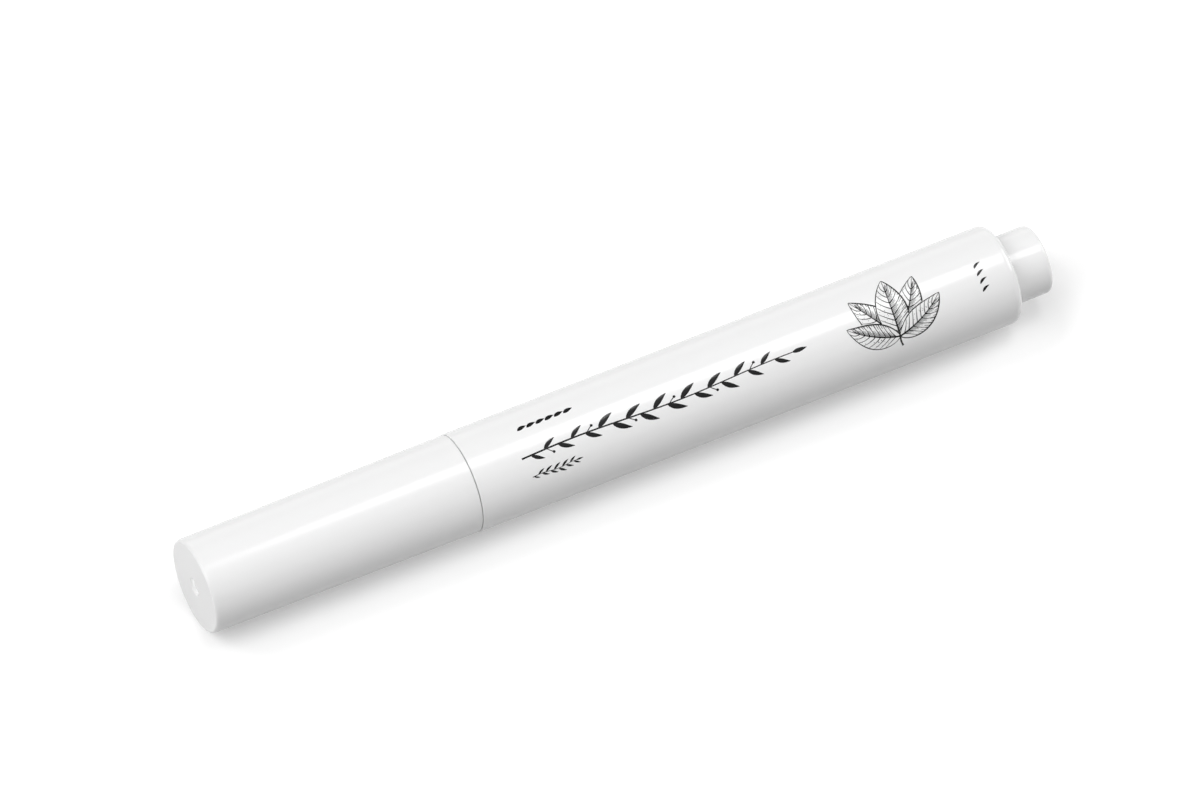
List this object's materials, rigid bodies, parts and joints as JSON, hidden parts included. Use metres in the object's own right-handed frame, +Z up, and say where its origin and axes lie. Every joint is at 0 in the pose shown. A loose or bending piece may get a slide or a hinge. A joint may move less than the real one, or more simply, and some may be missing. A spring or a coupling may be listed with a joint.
{
  "type": "nail oil pen",
  "caption": "Slim round twist-up pen that feeds cuticle oil to a brush tip, with a push-on cap at one end and a narrower clicking knob at the other.",
  "frame": {"origin": "centre of the overall box at its lowest point, on the surface that the pen lies on, below the pen's axis", "axes": "+X along the pen from the cap's closed end to the twist knob, +Z up, +Y across the pen"},
  "size_m": [0.129, 0.0142, 0.0142],
  "materials": {
    "gloss_white": "glossy, moulded",
    "neck_white": "glossy, moulded",
    "liner_plastic": "satin, natural",
    "cartridge_plastic": "satin, natural",
    "piston_plastic": "satin, waxy",
    "mechanism_white": "satin, moulded",
    "mechanism_grey": "satin, moulded",
    "bristle": "fine nylon strands",
    "seal_rubber": "smooth rubber"
  },
  "bodies": {
    "barrel": {"barrel_shell": "gloss_white", "neck_sleeve": "neck_white", "nose_cone": "liner_plastic", "nose_o_ring": "seal_rubber", "feed_tube": "liner_plastic", "brush_ferrule": "neck_white", "brush_tuft": "bristle", "oil_cartridge": "cartridge_plastic", "thread_nut": "mechanism_grey", "ratchet_ring": "mechanism_grey", "slip_washer": "seal_rubber"},
    "cap": {"cap_shell": "gloss_white", "cap_liner": "liner_plastic"},
    "knob": {"knob_shell": "gloss_white", "drive_sleeve": "mechanism_white"},
    "rod": {"screw_rod": "mechanism_white"},
    "piston": {"piston": "piston_plastic"}
  },
  "joints": [
    {"name": "cap_pull", "type": "slide", "parent": "barrel", "child": "cap", "axis": [-1, 0, 0], "range_m": [0, 0.045]},
    {"name": "knob_twist", "type": "hinge", "parent": "barrel", "child": "knob", "pos_m": [0.062, 0, 0.0071], "axis": [-1, 0, 0], "range_deg": [0, 6480]},
    {"name": "rod_advance", "type": "slide", "parent": "knob", "child": "rod", "axis": [-1, 0, 0], "range_m": [0, 0.0315]},
    {"name": "piston_travel", "type": "slide", "parent": "barrel", "child": "piston", "axis": [-1, 0, 0], "range_m": [0, 0.0315]}
  ],
  "couplings": [
    {"joint": "knob_twist", "follows": "piston_travel", "rad_per_m": 3590.4},
    {"joint": "rod_advance", "follows": "piston_travel", "ratio": 1}
  ]
}
